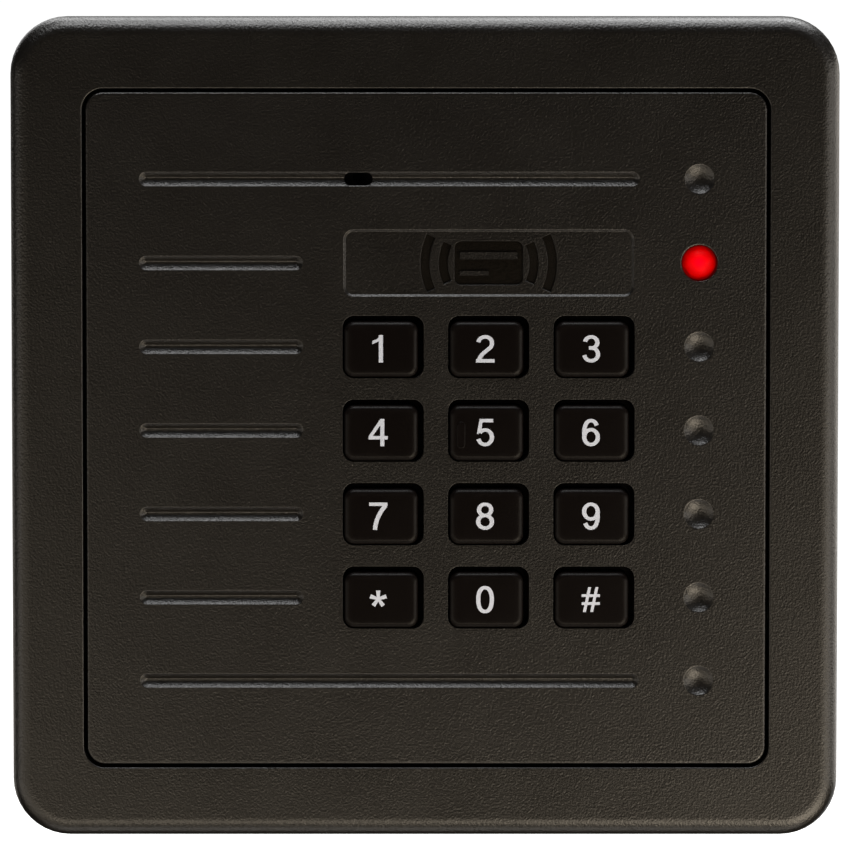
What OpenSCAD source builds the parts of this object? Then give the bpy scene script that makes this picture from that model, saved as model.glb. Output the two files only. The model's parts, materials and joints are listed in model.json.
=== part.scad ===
// Wall-mounted card reader with a twelve-key pad.
// +Z is up, the front faces -Y, and the wall is the plane y = 0. A place is given as x, z and
// depth, where depth is the distance from the wall towards the front.

/* [Frame] */
// Width of the outer frame
frame_w = 127; // [126:0.5:130]
// Height of the outer frame
frame_h = 126; // [125:0.5:130]
// Depth from the wall to the tops of the keys
depth = 25.4; // [25.4:0.1:28]
// Corner radius of the frame, seen from the front
frame_r = 8.8; // [8:0.2:10]
// Rounding of the frame's front edge
frame_edge = 2.8; // [2:0.1:3.6]
// Thickness of the frame's side walls
frame_wall = 2.5; // [2:0.1:2.8]
// Thickness of the frame's front border
border_t = 3; // [2.5:0.1:3.2]

/* [Front panel] */
// Width of the front panel
panel_w = 104.2; // [104:0.1:105]
// Height of the front panel
panel_h = 103.2; // [103:0.1:104]
// Corner radius of the front panel
panel_r = 2.7; // [2.4:0.1:3]
// Gap between the panel and the frame, all the way round
panel_gap = 0.55; // [0.4:0.05:0.7]
// Thickness of the panel's face
panel_t = 2.8; // [2.6:0.1:3]
// Sideways place of the panel in the frame
panel_x = 0.2; // [0:0.1:0.3]
// Upward place of the panel in the frame
panel_z = -0.2; // [-0.3:0.1:0]

/* [Pattern on the panel] */
// Distance between the rows of grooves, keys and dimples
row_pitch = 12.84; // [12.7:0.02:13]
// Height of the middle one of the seven rows
row_mid_z = -0.4; // [-0.6:0.1:0]
// Left end of every groove
groove_left = -43.8; // [-45:0.1:-42]
// Right end of the top and bottom grooves
groove_right = 32.9; // [32:0.1:34]
// Right end of the short grooves
short_groove_right = -18.6; // [-20:0.1:-18]
// Width of a groove
groove_w = 2.2; // [1.6:0.1:2.6]
// Depth of a groove
groove_t = 0.8; // [0.5:0.1:1]
// Width of a dimple
dimple_w = 4.8; // [4:0.1:5]
// Depth of a dimple
dimple_t = 1.2; // [0.8:0.1:1.4]
// Sideways place of the column of dimples and the lamp
dimple_x = 42; // [41:0.1:42.4]
// Width of the recessed plaque
plaque_w = 44.4; // [43:0.1:45]
// Height of the recessed plaque
plaque_h = 10.2; // [9:0.1:11]
// Depth of the recessed plaque
plaque_t = 0.35; // [0.2:0.05:0.5]
// Sideways place of the beeper port
port_x = -10.2; // [-12:0.1:-9]

/* [Keys] */
// Width of a key
key_w = 11.3; // [11:0.1:11.4]
// Height of a key
key_h = 8.5; // [8:0.1:8.6]
// Width of the opening for a key
key_open_w = 12.3; // [12.2:0.1:12.6]
// Height of the opening for a key
key_open_h = 9.5; // [9.4:0.1:9.8]
// Sideways distance between keys
key_pitch = 16.15; // [16:0.05:16.4]
// Sideways place of the middle column of keys
key_mid_x = 9.75; // [9.5:0.05:10]
// How far the keys stand to the left in their openings
key_shift_x = -0.32; // [-0.35:0.01:0]
// How far the keys hang down in their openings
key_shift_z = -0.34; // [-0.35:0.01:0]
// How far a key stands out of the panel
key_proud = 0.8; // [0.5:0.1:1]
// Travel of a key
key_travel = 1; // [0.6:0.1:1]

/* [Wall plate] */
// Distance between the upper and lower screw slots
wall_screw_spacing = 83.3; // [83:0.1:84]
// Distance between the left and right screw slots
box_screw_spacing = 60.3; // [60:0.1:61]
// Width of a screw slot
slot_w = 4.4; // [4:0.1:4.8]
// Length of a screw slot
slot_len = 9; // [8:0.5:10]
// Width of the cable opening
cable_w = 42; // [36:1:44]
// Height of the cable opening
cable_h = 31; // [24:1:31]

/* [Hidden] */
KEY_NAMES = ["1", "2", "3", "4", "5", "6", "7", "8", "9", "star", "0", "hash"];
KEYS = [for (n = KEY_NAMES) str("key_", n)];
PILLS = [for (n = KEY_NAMES) str("pill_", n)];

$fn = 48;
eps = 0.01;          // how far a cutting tool runs past the face that it opens

// Depths from the wall, back to front
plate_d = 2.6;       // front of the wall plate
rim_d = 6;           // rear rim of the reader housing
cover_t = 2;         // thickness of the rear cover
board_d = 11;        // back of the main board
board_t = 1.6;       // thickness of both circuit boards
board_front = board_d + board_t;
face_d = depth - key_proud;
panel_back = face_d - panel_t;
mat_t = 3.2;         // thickness of the silicone mat
keypad_front = panel_back - mat_t;
keypad_back = keypad_front - board_t;
frame_back = 0.5;    // back edge of the frame, just off the wall

// Beeper port
port_len = 4.4;
port_w = 1.9;

// Places across the face
housing_wall = 2;    // thickness of the reader housing's walls
panel_edge = 0.35;   // rounding of the panel's front edge
corner_posts = [for (x = [-41, 41], z = [-41, 41]) [x + panel_x, z + panel_z]];
ears = [for (x = [-56.2, 56.2], z = [-30, 30]) [x, z]];
hook_x = 35;         // distance of the frame's hooks from the middle
hook_d = 7;          // depth of the hooks and of the cover screw
tab_z = 57.6;        // height of the plate's upper tabs
head_sink = 1;       // depth of the cover screw's counterbore
screw_hole = 1.25;   // radius of a pilot hole for a 3 mm screw
tab_reach = 11;      // depth that the plate's tabs reach
lip_wall = 1.4;      // upright lip round the plate
lip_h = 2.4;
gasket_w = 112.8;    // foam ring at the back of the plate, and its room in its groove
gasket_wall = 2.8;
gasket_t = 1;
gasket_room = 0.2;
pocket = 12;         // pockets in the plate's back, in four groups of four
pocket_t = 0.8;
pocket_pitch = 13.5;
pocket_mid = [36, 33];
arrow_z = 30;        // arrow in the plate's back that points up
head_hole_r = 3.1;   // cover screw's counterbore and clearance hole
shank_hole_r = 1.7;
ear_r = 3.7;         // radius and thickness of the housing's mounting ears
ear_t = 2.4;
cable_z = -8.5;      // middle of the cable opening
inner_w = frame_w - 2 * frame_wall;
inner_h = frame_h - 2 * frame_wall;
plate_w = inner_w - 0.8;
plate_h = inner_h - 0.8;
keypad_mid = [9.4, row_mid_z - 6.5];
key_screws = [for (x = [-27.6, 27.6], z = [-19, 19]) keypad_mid + [x, z]];

// Keys and mat
key_r = 1.5;         // corner radius of a key
key_edge = 0.8;      // rounding of a key's front edge
flange_w = 13.4;     // flange that keeps a key in
flange_h = 10.7;
flange_t = 0.8;
flange_gap = 0.3;    // room between the flange and the panel at rest
well_gap = 0.35;     // room round the flange in the mat
pad_t = 0.06;
pill_t = 0.5;
pill_r = 2;
pill_d = keypad_front + pad_t + key_travel + 0.1;
flange_top = panel_back - flange_gap;
mat_size = [50, 53];

// Lamp and beeper
lamp_r = 2.5;
lamp_hole_r = 2.65;
lamp_top = depth - 0.05;
lamp_base = lamp_top - 8.8;
beeper_r = 6;
beeper_h = 5.8;

// Symbol sunk into the plaque
symbol_t = 0.35;
card_size = [10.4, 6.6];
wave_radii = [7.6, 10.4];
wave_t = 1.3;
wave_angle = 25;     // half the angle that a wave spans

// Coil
coil_out = 99;       // outer width of the bobbin
coil_in = 91;        // inner width of the bobbin
coil_wall = 1;
coil_top = panel_back - 0.2;

// Optical tamper sensor and the window that it looks through
tamper = [30, 32];

// Terminal block
pole_pitch = 3.5;
poles = 10;
block_z = 2;
block_h = 7.4;
block_back = plate_d + 0.3;

function row_z(i) = row_mid_z + (3 - i) * row_pitch;
function key_x(i) = key_mid_x + (i % 3 - 1) * key_pitch;
function key_z(i) = row_z(2 + floor(i / 3));
function pole_x(i) = (i - (poles - 1) / 2) * pole_pitch;
// Radius of the round cutter that leaves a channel of this width and depth
function cutter_r(width, cut) = (pow(width / 2, 2) + cut * cut) / (2 * cut);

// ---- Building blocks ----

// Raises an outline drawn in x and z from one depth to another
module slab(d0, d1) {
    translate([0, -d0, 0]) rotate([90, 0, 0]) linear_extrude(d1 - d0) children();
}

// Round bar that points at the front
module post(x, z, r, d0, d1) {
    translate([x, -d0, z]) rotate([90, 0, 0]) cylinder(h = d1 - d0, r = r);
}

// Rectangle with round corners
module rounded(w, h, r) {
    square([w - 2 * r, h], center = true);
    square([w, h - 2 * r], center = true);
    for (x = [-1, 1], z = [-1, 1]) translate([x * (w / 2 - r), z * (h / 2 - r)]) circle(r);
}

// Rectangular ring with round corners
module ring(w, h, wall, r) {
    difference() {
        rounded(w, h, r);
        rounded(w - 2 * wall, h - 2 * wall, max(r - wall, 0.5));
    }
}

// Slot with round ends that lies along x
module pill_outline(len, w) {
    square([len - w, w], center = true);
    for (x = [-1, 1]) translate([x * (len - w) / 2, 0]) circle(w / 2);
}

// Section of a bar of this half width whose front edges are rounded
module edged_section(half, edge, t) {
    translate([-half + edge, 0]) square([2 * (half - edge), t]);
    translate([-half, 0]) square([2 * half, t - edge]);
    for (x = [-1, 1]) translate([x * (half - edge), t - edge]) circle(edge);
}

// Plate with round corners and a rounded front edge, from depth d0 to d1
module cushion(w, h, r, edge, d0, d1) {
    t = d1 - d0;
    translate([0, -d0, 0]) rotate([90, 0, 0]) {
        for (x = [-1, 1], z = [-1, 1]) translate([x * (w / 2 - r), z * (h / 2 - r), 0])
            rotate_extrude() intersection() {
                edged_section(r, edge, t);
                square([r, t]);
            }
        rotate([90, 0, 0]) linear_extrude(h - 2 * r, center = true) edged_section(w / 2, edge, t);
        rotate([90, 0, 90]) linear_extrude(w - 2 * r, center = true) edged_section(h / 2, edge, t);
    }
}

// Round bars at each place in a list
module posts(places, r, d0, d1) {
    for (p = places) post(p[0], p[1], r, d0, d1);
}

// Screw that points at the front, with its head's underside at the origin
module screw(shaft_r, head_r, head_t, len) {
    difference() {
        post(0, 0, head_r, -head_t, 0);
        for (a = [0, 90]) translate([0, head_t, 0]) rotate([0, a, 0])
            cube([head_r * 1.3, 1.2, 0.6], center = true);
    }
    post(0, 0, shaft_r, -eps, len);
}

// ---- Housing ----

module back_plate() {
    color("dimgray") difference() {
        union() {
            slab(0, plate_d) rounded(plate_w, plate_h, 6);
            slab(plate_d - eps, plate_d + lip_h) ring(plate_w, plate_h, lip_wall, 6);
            posts(ears, 3.1, plate_d - eps, rim_d);
            for (x = [-hook_x, hook_x]) translate([x, 0, tab_z]) slab(plate_d - eps, tab_reach)
                square([12, 2.4], center = true);
            translate([0, 0, -tab_z + 0.6]) slab(plate_d - eps, tab_reach)
                square([14, 3.6], center = true);
        }
        translate([0, 0, cable_z]) slab(-1, plate_d + 1) rounded(cable_w, cable_h, 3);
        for (z = [-1, 1]) translate([0, 0, z * wall_screw_spacing / 2]) slab(-1, plate_d + 1)
            rotate(90) pill_outline(slot_len, slot_w);
        for (x = [-1, 1]) translate([x * box_screw_spacing / 2, 0, 0]) slab(-1, plate_d + 1)
            pill_outline(slot_len, slot_w);
        posts(ears, screw_hole, 1.6, rim_d + 1);
        for (x = [-hook_x, hook_x]) translate([x - 4.2, -hook_d - 2, tab_z - 5]) cube([8.4, 4, 10]);
        translate([0, -hook_d, -tab_z - 3]) cylinder(h = 8, r = screw_hole);
        slab(-1, gasket_t) ring(gasket_w + gasket_room, gasket_w - 1 + gasket_room,
                                gasket_wall + gasket_room, 5);
        back_relief();
    }
}

// Shallow pockets that keep the plate flat, and an arrow that shows which way is up
module back_relief() {
    for (x = [-1, 1], z = [-1, 1], i = [-0.5, 0.5], k = [-0.5, 0.5])
        translate([x * pocket_mid[0] + i * pocket_pitch, 0, z * pocket_mid[1] + k * pocket_pitch])
            slab(-1, pocket_t) rounded(pocket, pocket, 1.5);
    translate([0, 0, arrow_z]) slab(-1, 0.5) {
        polygon([[-4, -1], [4, -1], [0, 4]]);
        translate([0, -3]) square([2.4, 5], center = true);
    }
}

module wall_gasket() {
    color("black") slab(0, gasket_t) ring(gasket_w, gasket_w - 1, gasket_wall, 4.9);
}

module bezel_frame() {
    color([0.16, 0.15, 0.13]) difference() {
        union() {
            difference() {
                cushion(frame_w, frame_h, frame_r, frame_edge, frame_back, face_d);
                slab(frame_back - 1, face_d - border_t) rounded(inner_w, inner_h, frame_r - frame_wall);
            }
            for (x = [-hook_x, hook_x]) translate([x - 3.5, -hook_d - 1.6, tab_z - 3])
                cube([7, 3.2, inner_h / 2 - tab_z + 3.2]);
        }
        translate([panel_x, 0, panel_z]) slab(0, face_d + 1)
            rounded(panel_w + 2 * panel_gap, panel_h + 2 * panel_gap, panel_r + panel_gap);
        translate([0, -hook_d, -frame_h / 2 - 1]) {
            cylinder(h = frame_wall + 2, r = shank_hole_r);
            cylinder(h = head_sink + 1, r = head_hole_r);
        }
    }
}

// Grooves, dimples and plaque, cut into the panel's face
module face_pattern() {
    r = cutter_r(groove_w, groove_t);
    for (i = [0:6]) {
        right = i == 0 || i == 6 ? groove_right : short_groove_right;
        inset = groove_w / 2;
        translate([0, -face_d - r + groove_t, row_z(i)]) {
            translate([groove_left + inset, 0, 0]) rotate([0, 90, 0])
                cylinder(h = right - groove_left - 2 * inset, r = r);
            for (x = [groove_left + inset, right - inset]) translate([x, 0, 0]) sphere(r);
        }
    }
    for (i = [0:6]) if (i != 1) translate([dimple_x, -face_d + dimple_t, row_z(i)])
        translate([0, -cutter_r(dimple_w, dimple_t), 0]) sphere(cutter_r(dimple_w, dimple_t));
    translate([key_mid_x, 0, row_z(1)]) slab(face_d - plaque_t, face_d + 1)
        rounded(plaque_w, plaque_h, 1.6);
    translate([key_mid_x, 0, row_z(1)]) slab(face_d - plaque_t - symbol_t, face_d)
        plaque_symbol();
}

// A card, with its stripe and a line left standing, between two pairs of waves
module plaque_symbol() {
    difference() {
        rounded(card_size[0], card_size[1], 1);
        translate([0, 1.1]) square([8.8, 1.1], center = true);
        translate([-2.2, -1.6]) square([4.4, 0.7], center = true);
    }
    for (side = [0, 180], r = wave_radii) rotate(side) intersection() {
        difference() {
            circle(r);
            circle(r - wave_t);
        }
        polygon([[0, 0], [20, 20 * tan(wave_angle)], [20, -20 * tan(wave_angle)]]);
    }
}

module front_panel() {
    color([0.15, 0.14, 0.12]) difference() {
        union() {
            translate([panel_x, 0, panel_z]) difference() {
                cushion(panel_w, panel_h, panel_r, panel_edge, rim_d, face_d);
                slab(rim_d - 1, panel_back)
                    rounded(panel_w - 2 * housing_wall, panel_h - 2 * housing_wall, 1.5);
            }
            posts(corner_posts, 3, board_front, panel_back + eps);
            posts(key_screws, 2.2, keypad_front, panel_back + eps);
            posts(ears, ear_r, rim_d, rim_d + ear_t);
            for (p = ears) translate([p[0] - sign(p[0]) * 2.6, 0, p[1]]) slab(rim_d, rim_d + ear_t)
                square([5.2, 2 * ear_r], center = true);
        }
        face_pattern();
        for (i = [0:11]) translate([key_x(i), 0, key_z(i)]) slab(panel_back - 1, face_d + 1)
            rounded(key_open_w, key_open_h, 1.7);
        post(dimple_x, row_z(1), lamp_hole_r, panel_back - 1, face_d + 1);
        translate([dimple_x, -face_d - eps, row_z(1)]) rotate([-90, 0, 0])
            cylinder(h = 0.3, r1 = lamp_hole_r + 0.3, r2 = lamp_hole_r);
        translate([port_x, 0, row_z(0)]) slab(panel_back - 1, face_d + 1) pill_outline(port_len, port_w);
        posts(corner_posts, 1.1, board_front - 1, panel_back);
        posts(key_screws, 0.8, keypad_front - 1, panel_back);
        posts(ears, 1.6, rim_d - 1, rim_d + ear_t + 1);
    }
}

module rear_cover() {
    color("dimgray") difference() {
        union() {
            translate([panel_x, 0, panel_z]) slab(rim_d, rim_d + cover_t)
                rounded(panel_w - 2 * housing_wall - 0.4, panel_h - 2 * housing_wall - 0.4, 1.3);
            posts(corner_posts, 3, rim_d + cover_t - eps, board_d);
        }
        posts(corner_posts, 1.4, rim_d - 1, board_d + 1);
        translate([0, 0, block_z]) slab(rim_d - 1, rim_d + cover_t + 1)
            square([poles * pole_pitch + 2, block_h + 1], center = true);
        post(tamper[0], tamper[1], 2.4, rim_d - 1, rim_d + cover_t + 1);
    }
}

// ---- Boards ----

module main_board() {
    color("darkgreen") slab(board_d, board_front) difference() {
        translate([panel_x, panel_z]) rounded(99, 98, 2);
        for (p = corner_posts) translate(p) circle(1.4);
    }
}

module keypad_board() {
    color("darkgreen") slab(keypad_back, keypad_front) difference() {
        translate(keypad_mid) rounded(60.4, 54, 2);
        for (p = key_screws) translate(p) circle(1.2);
    }
}

module contact_pads() {
    color("black") for (i = [0:11])
        post(key_x(i) + key_shift_x, key_z(i) + key_shift_z, 2.5, keypad_front, keypad_front + pad_t);
}

module keypad_mat() {
    mat_z = (key_z(0) + key_z(11)) / 2;
    color([0.1, 0.1, 0.1]) translate([key_shift_x, 0, key_shift_z]) slab(keypad_front, panel_back)
        difference() {
            translate([key_mid_x, mat_z]) rounded(mat_size[0], mat_size[1], 1.5);
            for (i = [0:11]) translate([key_x(i), key_z(i)])
                rounded(flange_w + 2 * well_gap, flange_h + 2 * well_gap, 1.2);
        }
}

// Key number i with the flange that keeps it in and the foot that holds its pill
module key_cap(i) {
    color([0.05, 0.05, 0.045]) translate([key_x(i) + key_shift_x, 0, key_z(i) + key_shift_z]) {
        cushion(key_w, key_h, key_r, key_edge, flange_top - eps, depth);
        slab(flange_top - flange_t, flange_top) rounded(flange_w, flange_h, 1.2);
        post(0, 0, 2.5, pill_d + pill_t, flange_top - flange_t + eps);
    }
}

module pill(i) {
    color([0.1, 0.1, 0.1])
        post(key_x(i) + key_shift_x, key_z(i) + key_shift_z, pill_r, pill_d, pill_d + pill_t);
}

// ---- Lamp and beeper ----

module led_lamp() {
    color("red") translate([dimple_x, 0, row_z(1)]) {
        post(0, 0, lamp_r, lamp_base, lamp_top - lamp_r);
        post(0, 0, 2.9, lamp_base, lamp_base + 1);
        translate([0, -lamp_top + lamp_r, 0]) sphere(lamp_r);
    }
}

module led_spacer() {
    color("black") translate([dimple_x, 0, row_z(1)]) slab(board_front, lamp_base) difference() {
        circle(2.9);
        circle(1.9);
    }
}

module led_leads() {
    color("silver") for (x = [-1.27, 1.27]) translate([dimple_x + x, 0, row_z(1)])
        slab(board_front, lamp_base) square(0.5, center = true);
}

module beeper() {
    color("black") difference() {
        post(port_x, row_z(0), beeper_r, board_front, board_front + beeper_h);
        post(port_x, row_z(0), 1, board_front + 2, board_front + beeper_h + 1);
    }
}

module beeper_gasket() {
    color("gray") translate([port_x, 0, row_z(0)]) slab(board_front + beeper_h, panel_back) difference() {
        circle(5.6);
        circle(3);
    }
}

// ---- Coil ----

module coil_former() {
    color("ivory") translate([panel_x, 0, panel_z]) {
        slab(board_front, board_front + coil_wall) ring(coil_out, coil_out - 1, 4, 3);
        slab(board_front + coil_wall - eps, coil_top - coil_wall + eps)
            ring(coil_in + 2, coil_in + 1, coil_wall, 2);
        slab(coil_top - coil_wall, coil_top) ring(coil_out, coil_out - 1, 4, 3);
    }
}

module antenna_coil() {
    color("peru") translate([panel_x, 0, panel_z])
        slab(board_front + coil_wall + 0.1, coil_top - coil_wall - 0.1)
            ring(coil_out - 1.2, coil_out - 2.2, 2.3, 3);
}

// ---- Parts on the boards ----

module connector_socket() {
    color("black") translate([keypad_mid[0], 0, keypad_mid[1]])
        slab(board_front, board_front + 2.4) square([20.3, 5], center = true);
}

module connector_plug() {
    color("black") translate([keypad_mid[0], 0, keypad_mid[1]])
        slab(board_front + 2.4, keypad_back) square([20.3, 5], center = true);
}

module terminal_block() {
    color("seagreen") difference() {
        translate([0, 0, block_z]) slab(block_back, board_d)
            square([poles * pole_pitch + 1, block_h], center = true);
        for (i = [0:poles - 1]) {
            post(pole_x(i), block_z, 1.4, block_back - 1, block_back + 3.2);
            translate([pole_x(i) - 1.2, -block_back - 6.6, block_z - block_h / 2 - 1]) cube([2.4, 2.6, 6]);
        }
    }
}

module terminal_screws() {
    color("silver") for (i = [0:poles - 1]) translate([pole_x(i), 0, block_z]) difference() {
        post(0, 0, 1.3, block_back + 0.6, block_back + 3.2);
        translate([0, -block_back - 0.6, 0]) cube([3, 1, 0.5], center = true);
    }
}

module terminal_clamps() {
    color("silver") for (i = [0:poles - 1])
        translate([pole_x(i) - 1.1, -block_back - 4.6, block_z - 1.6]) cube([2.2, 0.5, 2.8]);
}

// Flat chip with a row of feet along each of two sides
module chip(x, z, w, h, t, feet) {
    translate([x, 0, z]) {
        slab(board_front + 0.1, board_front + t) square([w, h], center = true);
        for (side = [-1, 1], k = [0:feet - 1])
            translate([side * (w / 2 + 0.5), 0, (k - (feet - 1) / 2) * (h - 1) / feet])
                slab(board_front, board_front + 0.4) square([1.2, 0.4], center = true);
    }
}

module processor_chip() {
    color("black") chip(-32, -14, 10, 10, 1.4, 8);
}

module radio_chip() {
    color("black") chip(-32, 6, 7.5, 10, 1.8, 8);
}

module capacitors() {
    color("silver") for (z = [20, 28]) post(-32, z, 3.1, board_front, board_front + 5.4);
}

module crystal() {
    color("silver") translate([-32, 0, -25]) slab(board_front, board_front + 3.5)
        rotate(90) pill_outline(11, 4.6);
}

module regulator() {
    color("black") translate([-18, 0, -38]) {
        slab(board_front, board_front + 2.3) square([6.5, 6], center = true);
        translate([0, 0, 4]) slab(board_front, board_front + 0.5) square([5.4, 2.2], center = true);
    }
}

module resistors() {
    color("black") for (k = [0:7], z = [-38, -41.5]) translate([-4 + 4.5 * k, 0, z])
        slab(board_front, board_front + 0.6) square([2, 1.25], center = true);
}

module tamper_sensor() {
    color("black") translate([tamper[0], 0, tamper[1]]) slab(rim_d + cover_t + 0.4, board_d)
        square([4.2, 4], center = true);
}

// ---- Screws ----

module housing_screws() {
    color("silver") for (p = corner_posts) translate([p[0], -rim_d, p[1]])
        screw(1.08, 2.4, 1.6, board_front + 6 - rim_d);
}

module keypad_screws() {
    color("silver") for (p = key_screws) translate([p[0], -keypad_back, p[1]])
        screw(0.78, 1.9, 1.2, panel_back - 0.8 - keypad_back);
}

module module_screws() {
    color("silver") for (p = ears) translate([p[0], -rim_d - ear_t, p[1]]) mirror([0, 1, 0])
        screw(1.2, 2.8, 2, 6);
}

// Goes up through the frame's lower wall into the wall plate's tab
module cover_screw() {
    color("silver") translate([0, -hook_d, -frame_h / 2]) {
        difference() {
            cylinder(h = head_sink, r = 2.8);
            cylinder(h = 1.4, r = 0.9, $fn = 6, center = true);
        }
        translate([0, 0, head_sink - eps]) cylinder(h = 6, r = 1.2);
    }
}

// ---- What is drawn ----

back_plate();
wall_gasket();
bezel_frame();
front_panel();
rear_cover();
main_board();
keypad_board();
contact_pads();
keypad_mat();
for (i = [0:11]) key_cap(i);
for (i = [0:11]) pill(i);
led_lamp();
led_spacer();
led_leads();
beeper();
beeper_gasket();
coil_former();
antenna_coil();
connector_socket();
connector_plug();
terminal_block();
terminal_screws();
terminal_clamps();
processor_chip();
radio_chip();
capacitors();
crystal();
regulator();
resistors();
tamper_sensor();
housing_screws();
keypad_screws();
module_screws();
cover_screw();
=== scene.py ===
import json
import math

import bmesh
import bpy
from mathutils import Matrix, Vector


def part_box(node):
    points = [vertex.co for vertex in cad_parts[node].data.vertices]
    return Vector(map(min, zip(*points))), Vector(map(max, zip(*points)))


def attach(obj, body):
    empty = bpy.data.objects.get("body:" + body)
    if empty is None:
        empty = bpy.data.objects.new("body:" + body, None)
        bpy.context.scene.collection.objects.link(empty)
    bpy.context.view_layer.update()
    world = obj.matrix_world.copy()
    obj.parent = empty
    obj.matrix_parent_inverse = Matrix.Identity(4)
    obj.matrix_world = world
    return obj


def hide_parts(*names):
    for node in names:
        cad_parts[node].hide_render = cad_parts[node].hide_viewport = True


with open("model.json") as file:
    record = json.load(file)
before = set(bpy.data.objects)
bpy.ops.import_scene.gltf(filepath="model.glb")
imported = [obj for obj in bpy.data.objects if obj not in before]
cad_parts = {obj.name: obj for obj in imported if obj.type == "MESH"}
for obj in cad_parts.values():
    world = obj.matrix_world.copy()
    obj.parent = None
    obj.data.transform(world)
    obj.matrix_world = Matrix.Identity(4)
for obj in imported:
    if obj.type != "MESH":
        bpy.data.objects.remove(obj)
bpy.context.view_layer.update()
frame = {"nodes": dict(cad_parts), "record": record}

# Lengths are in millimetres as in the CAD source, and MM turns them into metres. A place on the
# face is x, z and depth, where depth is the distance from the wall towards the front.
MM = 0.001

# Frame and panel. A land is the narrow flat ring inside a round edge.
FRAME_W, FRAME_H, FRAME_R, FRAME_EDGE, FRAME_LAND = 127.0, 126.0, 8.8, 2.8, 0.4
FRAME_WALL, BORDER_T, FRAME_BACK, BACK_EDGE, OPENING_LIP = 2.5, 3.0, 0.5, 0.3, 0.22
PANEL_X, PANEL_Z = 0.2, -0.2
PANEL_W, PANEL_H, PANEL_R, PANEL_GAP, PANEL_T = 104.2, 103.2, 2.7, 0.55, 2.8
PANEL_EDGE, PANEL_LAND = 0.35, 0.3
HOUSING_WALL, HOUSING_R, RIM_DEPTH = 2.0, 1.5, 6.0
FACE = 24.6
KEY_TOP = 25.4
PANEL_BACK = FACE - PANEL_T

# Rows of the pattern, counted from the top
ROWS, MID_ROW, LAMP_ROW, FIRST_KEY_ROW = 7, 3, 1, 2
ROW_PITCH, ROW_MID_Z = 12.84, -0.4
LONG_GROOVE_ROWS = (0, 6)

# Pattern on the panel. A slope is in degrees, a lip and a foot are the radii above and below it.
GROOVE_LEFT, GROOVE_RIGHT, SHORT_GROOVE_RIGHT = -43.8, 32.9, -18.6
GROOVE_W, GROOVE_T = 2.3, 0.8
GROOVE_SLOPE, GROOVE_LIP, GROOVE_FOOT = 43, 0.14, 0.35
DIMPLE_X, DIMPLE_W, DIMPLE_T = 42.0, 4.8, 0.85
DIMPLE_SLOPE, DIMPLE_LIP, DIMPLE_BOWL = 38, 0.35, 3.6
PLAQUE_X, PLAQUE_W, PLAQUE_H, PLAQUE_R, PLAQUE_T = 9.75, 44.4, 10.2, 1.6, 0.35
PLAQUE_SLOPE, PLAQUE_LIP, PLAQUE_FOOT, PLAQUE_SPREAD = 46, 0.15, 0.1, 0.1
PORT_X, PORT_LEN, PORT_W = -10.2, 4.4, 1.9

# Mouths of the holes that go through: how much wider or what radius, and how far below the face
PORT_MOUTH = [(0.18, 0.25), (0.05, 0.35), (0.0, 0.6)]
LAMP_MOUTH = [(3.0, 0), (2.8, 0.12), (2.65, 0.35)]

# Symbol in the plaque: a card between waves. The card's two marks, left standing, are x and z
# from its middle, width and height.
SYMBOL_T = 0.35
SYMBOL_EDGE = [(0.12, -0.2), (0.12, 0), (0.08, 0.03), (0.04, 0.1), (0.0, SYMBOL_T)]
SYMBOL_REACH = 12
CARD_W, CARD_H, CARD_R = 10.4, 6.6, 1.0
CARD_MARKS = [(0, 1.1, 8.8, 1.1), (-2.2, -1.6, 4.4, 0.7)]
MARK_R, MARK_SPAN = 0.15, (-0.5, SYMBOL_T + 0.3)
WAVE_RADII, WAVE_T, WAVE_REACH = (7.6, 10.4), 1.3, 25

# Cover screw's hole in the frame's lower wall, and the hooks on its upper one
FIXING_DEPTH = 7.0
HOOK_X, HOOK_W, HOOK_T, HOOK_LOW, HOOK_ROOT, HOOK_R = 35.0, 7.0, 3.2, 57.0, 0.3, 0.4
HEAD_R, HEAD_SINK, SHANK_R = 3.1, 1.0, 1.7

# Keys
KEY_NAMES = ["1", "2", "3", "4", "5", "6", "7", "8", "9", "star", "0", "hash"]
KEY_COLUMNS = 3
KEY_W, KEY_H, KEY_R, KEY_EDGE = 11.3, 8.5, 1.5, 0.85
KEY_ROOT, KEY_ROOT_H, KEY_CROWN = 0.3, 0.2, 0.05
CORNER_SHRINK, KEY_MIN_R = 0.7, 0.25
OPEN_W, OPEN_H, OPEN_R, OPEN_EDGE = 12.4, 9.5, 1.7, 0.1
KEY_MID_X, KEY_PITCH = 9.75, 16.15
FLANGE_W, FLANGE_H, FLANGE_R, FLANGE_T, FLANGE_TOP = 13.4, 10.7, 1.2, 0.8, 21.5

# Tactile bar on one key: place from the key's middle, size, and its profile of inset and rise
TACTILE_KEY = "5"
TACTILE_X, TACTILE_Z, TACTILE_W, TACTILE_H, TACTILE_SINK = -3.9, -0.3, 1.3, 4.1, 0.01
TACTILE_PROFILE = [(0, -0.3), (0, 0.02), (0.04, 0.07), (0.15, 0.1)]

# Legends: pen widths and half the width of a round figure, the ink's bottom and top about the
# key's top, and how far they are printed off their keys' middles, sideways by column and up
STEM, BAR, ROUND_HALF = 0.65, 0.53, 1.04
LEGEND_H = 4.2
INK_SINK, INK_T = 0.08, 0.012
COLUMN_DRIFT = (-0.45, -0.22, -0.15)
ROW_DRIFT = 0.08

# Lamp: dome's radius, how far round it is drawn in degrees, and its flange's radius and rise
LAMP_R, DOME_REACH, DOME_STEPS = 2.5, 88, 14
LAMP_FLANGE = [(2.9, 0), (2.9, 0.9), (2.8, 1), (LAMP_R, 1)]

# Share of rubbed edge on the opening's lip, the frame, the panel and the keys
LIP_WEAR, FRAME_WEAR, PANEL_WEAR, KEY_WEAR = 0.5, 0.6, 0.8, 0.7

# A cutter runs this far past what it cuts. The other two keep the smallest rings from closing.
OVER = 1
TINY, TIP = 0.001, 0.01

ARC_STEPS = 10


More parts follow.
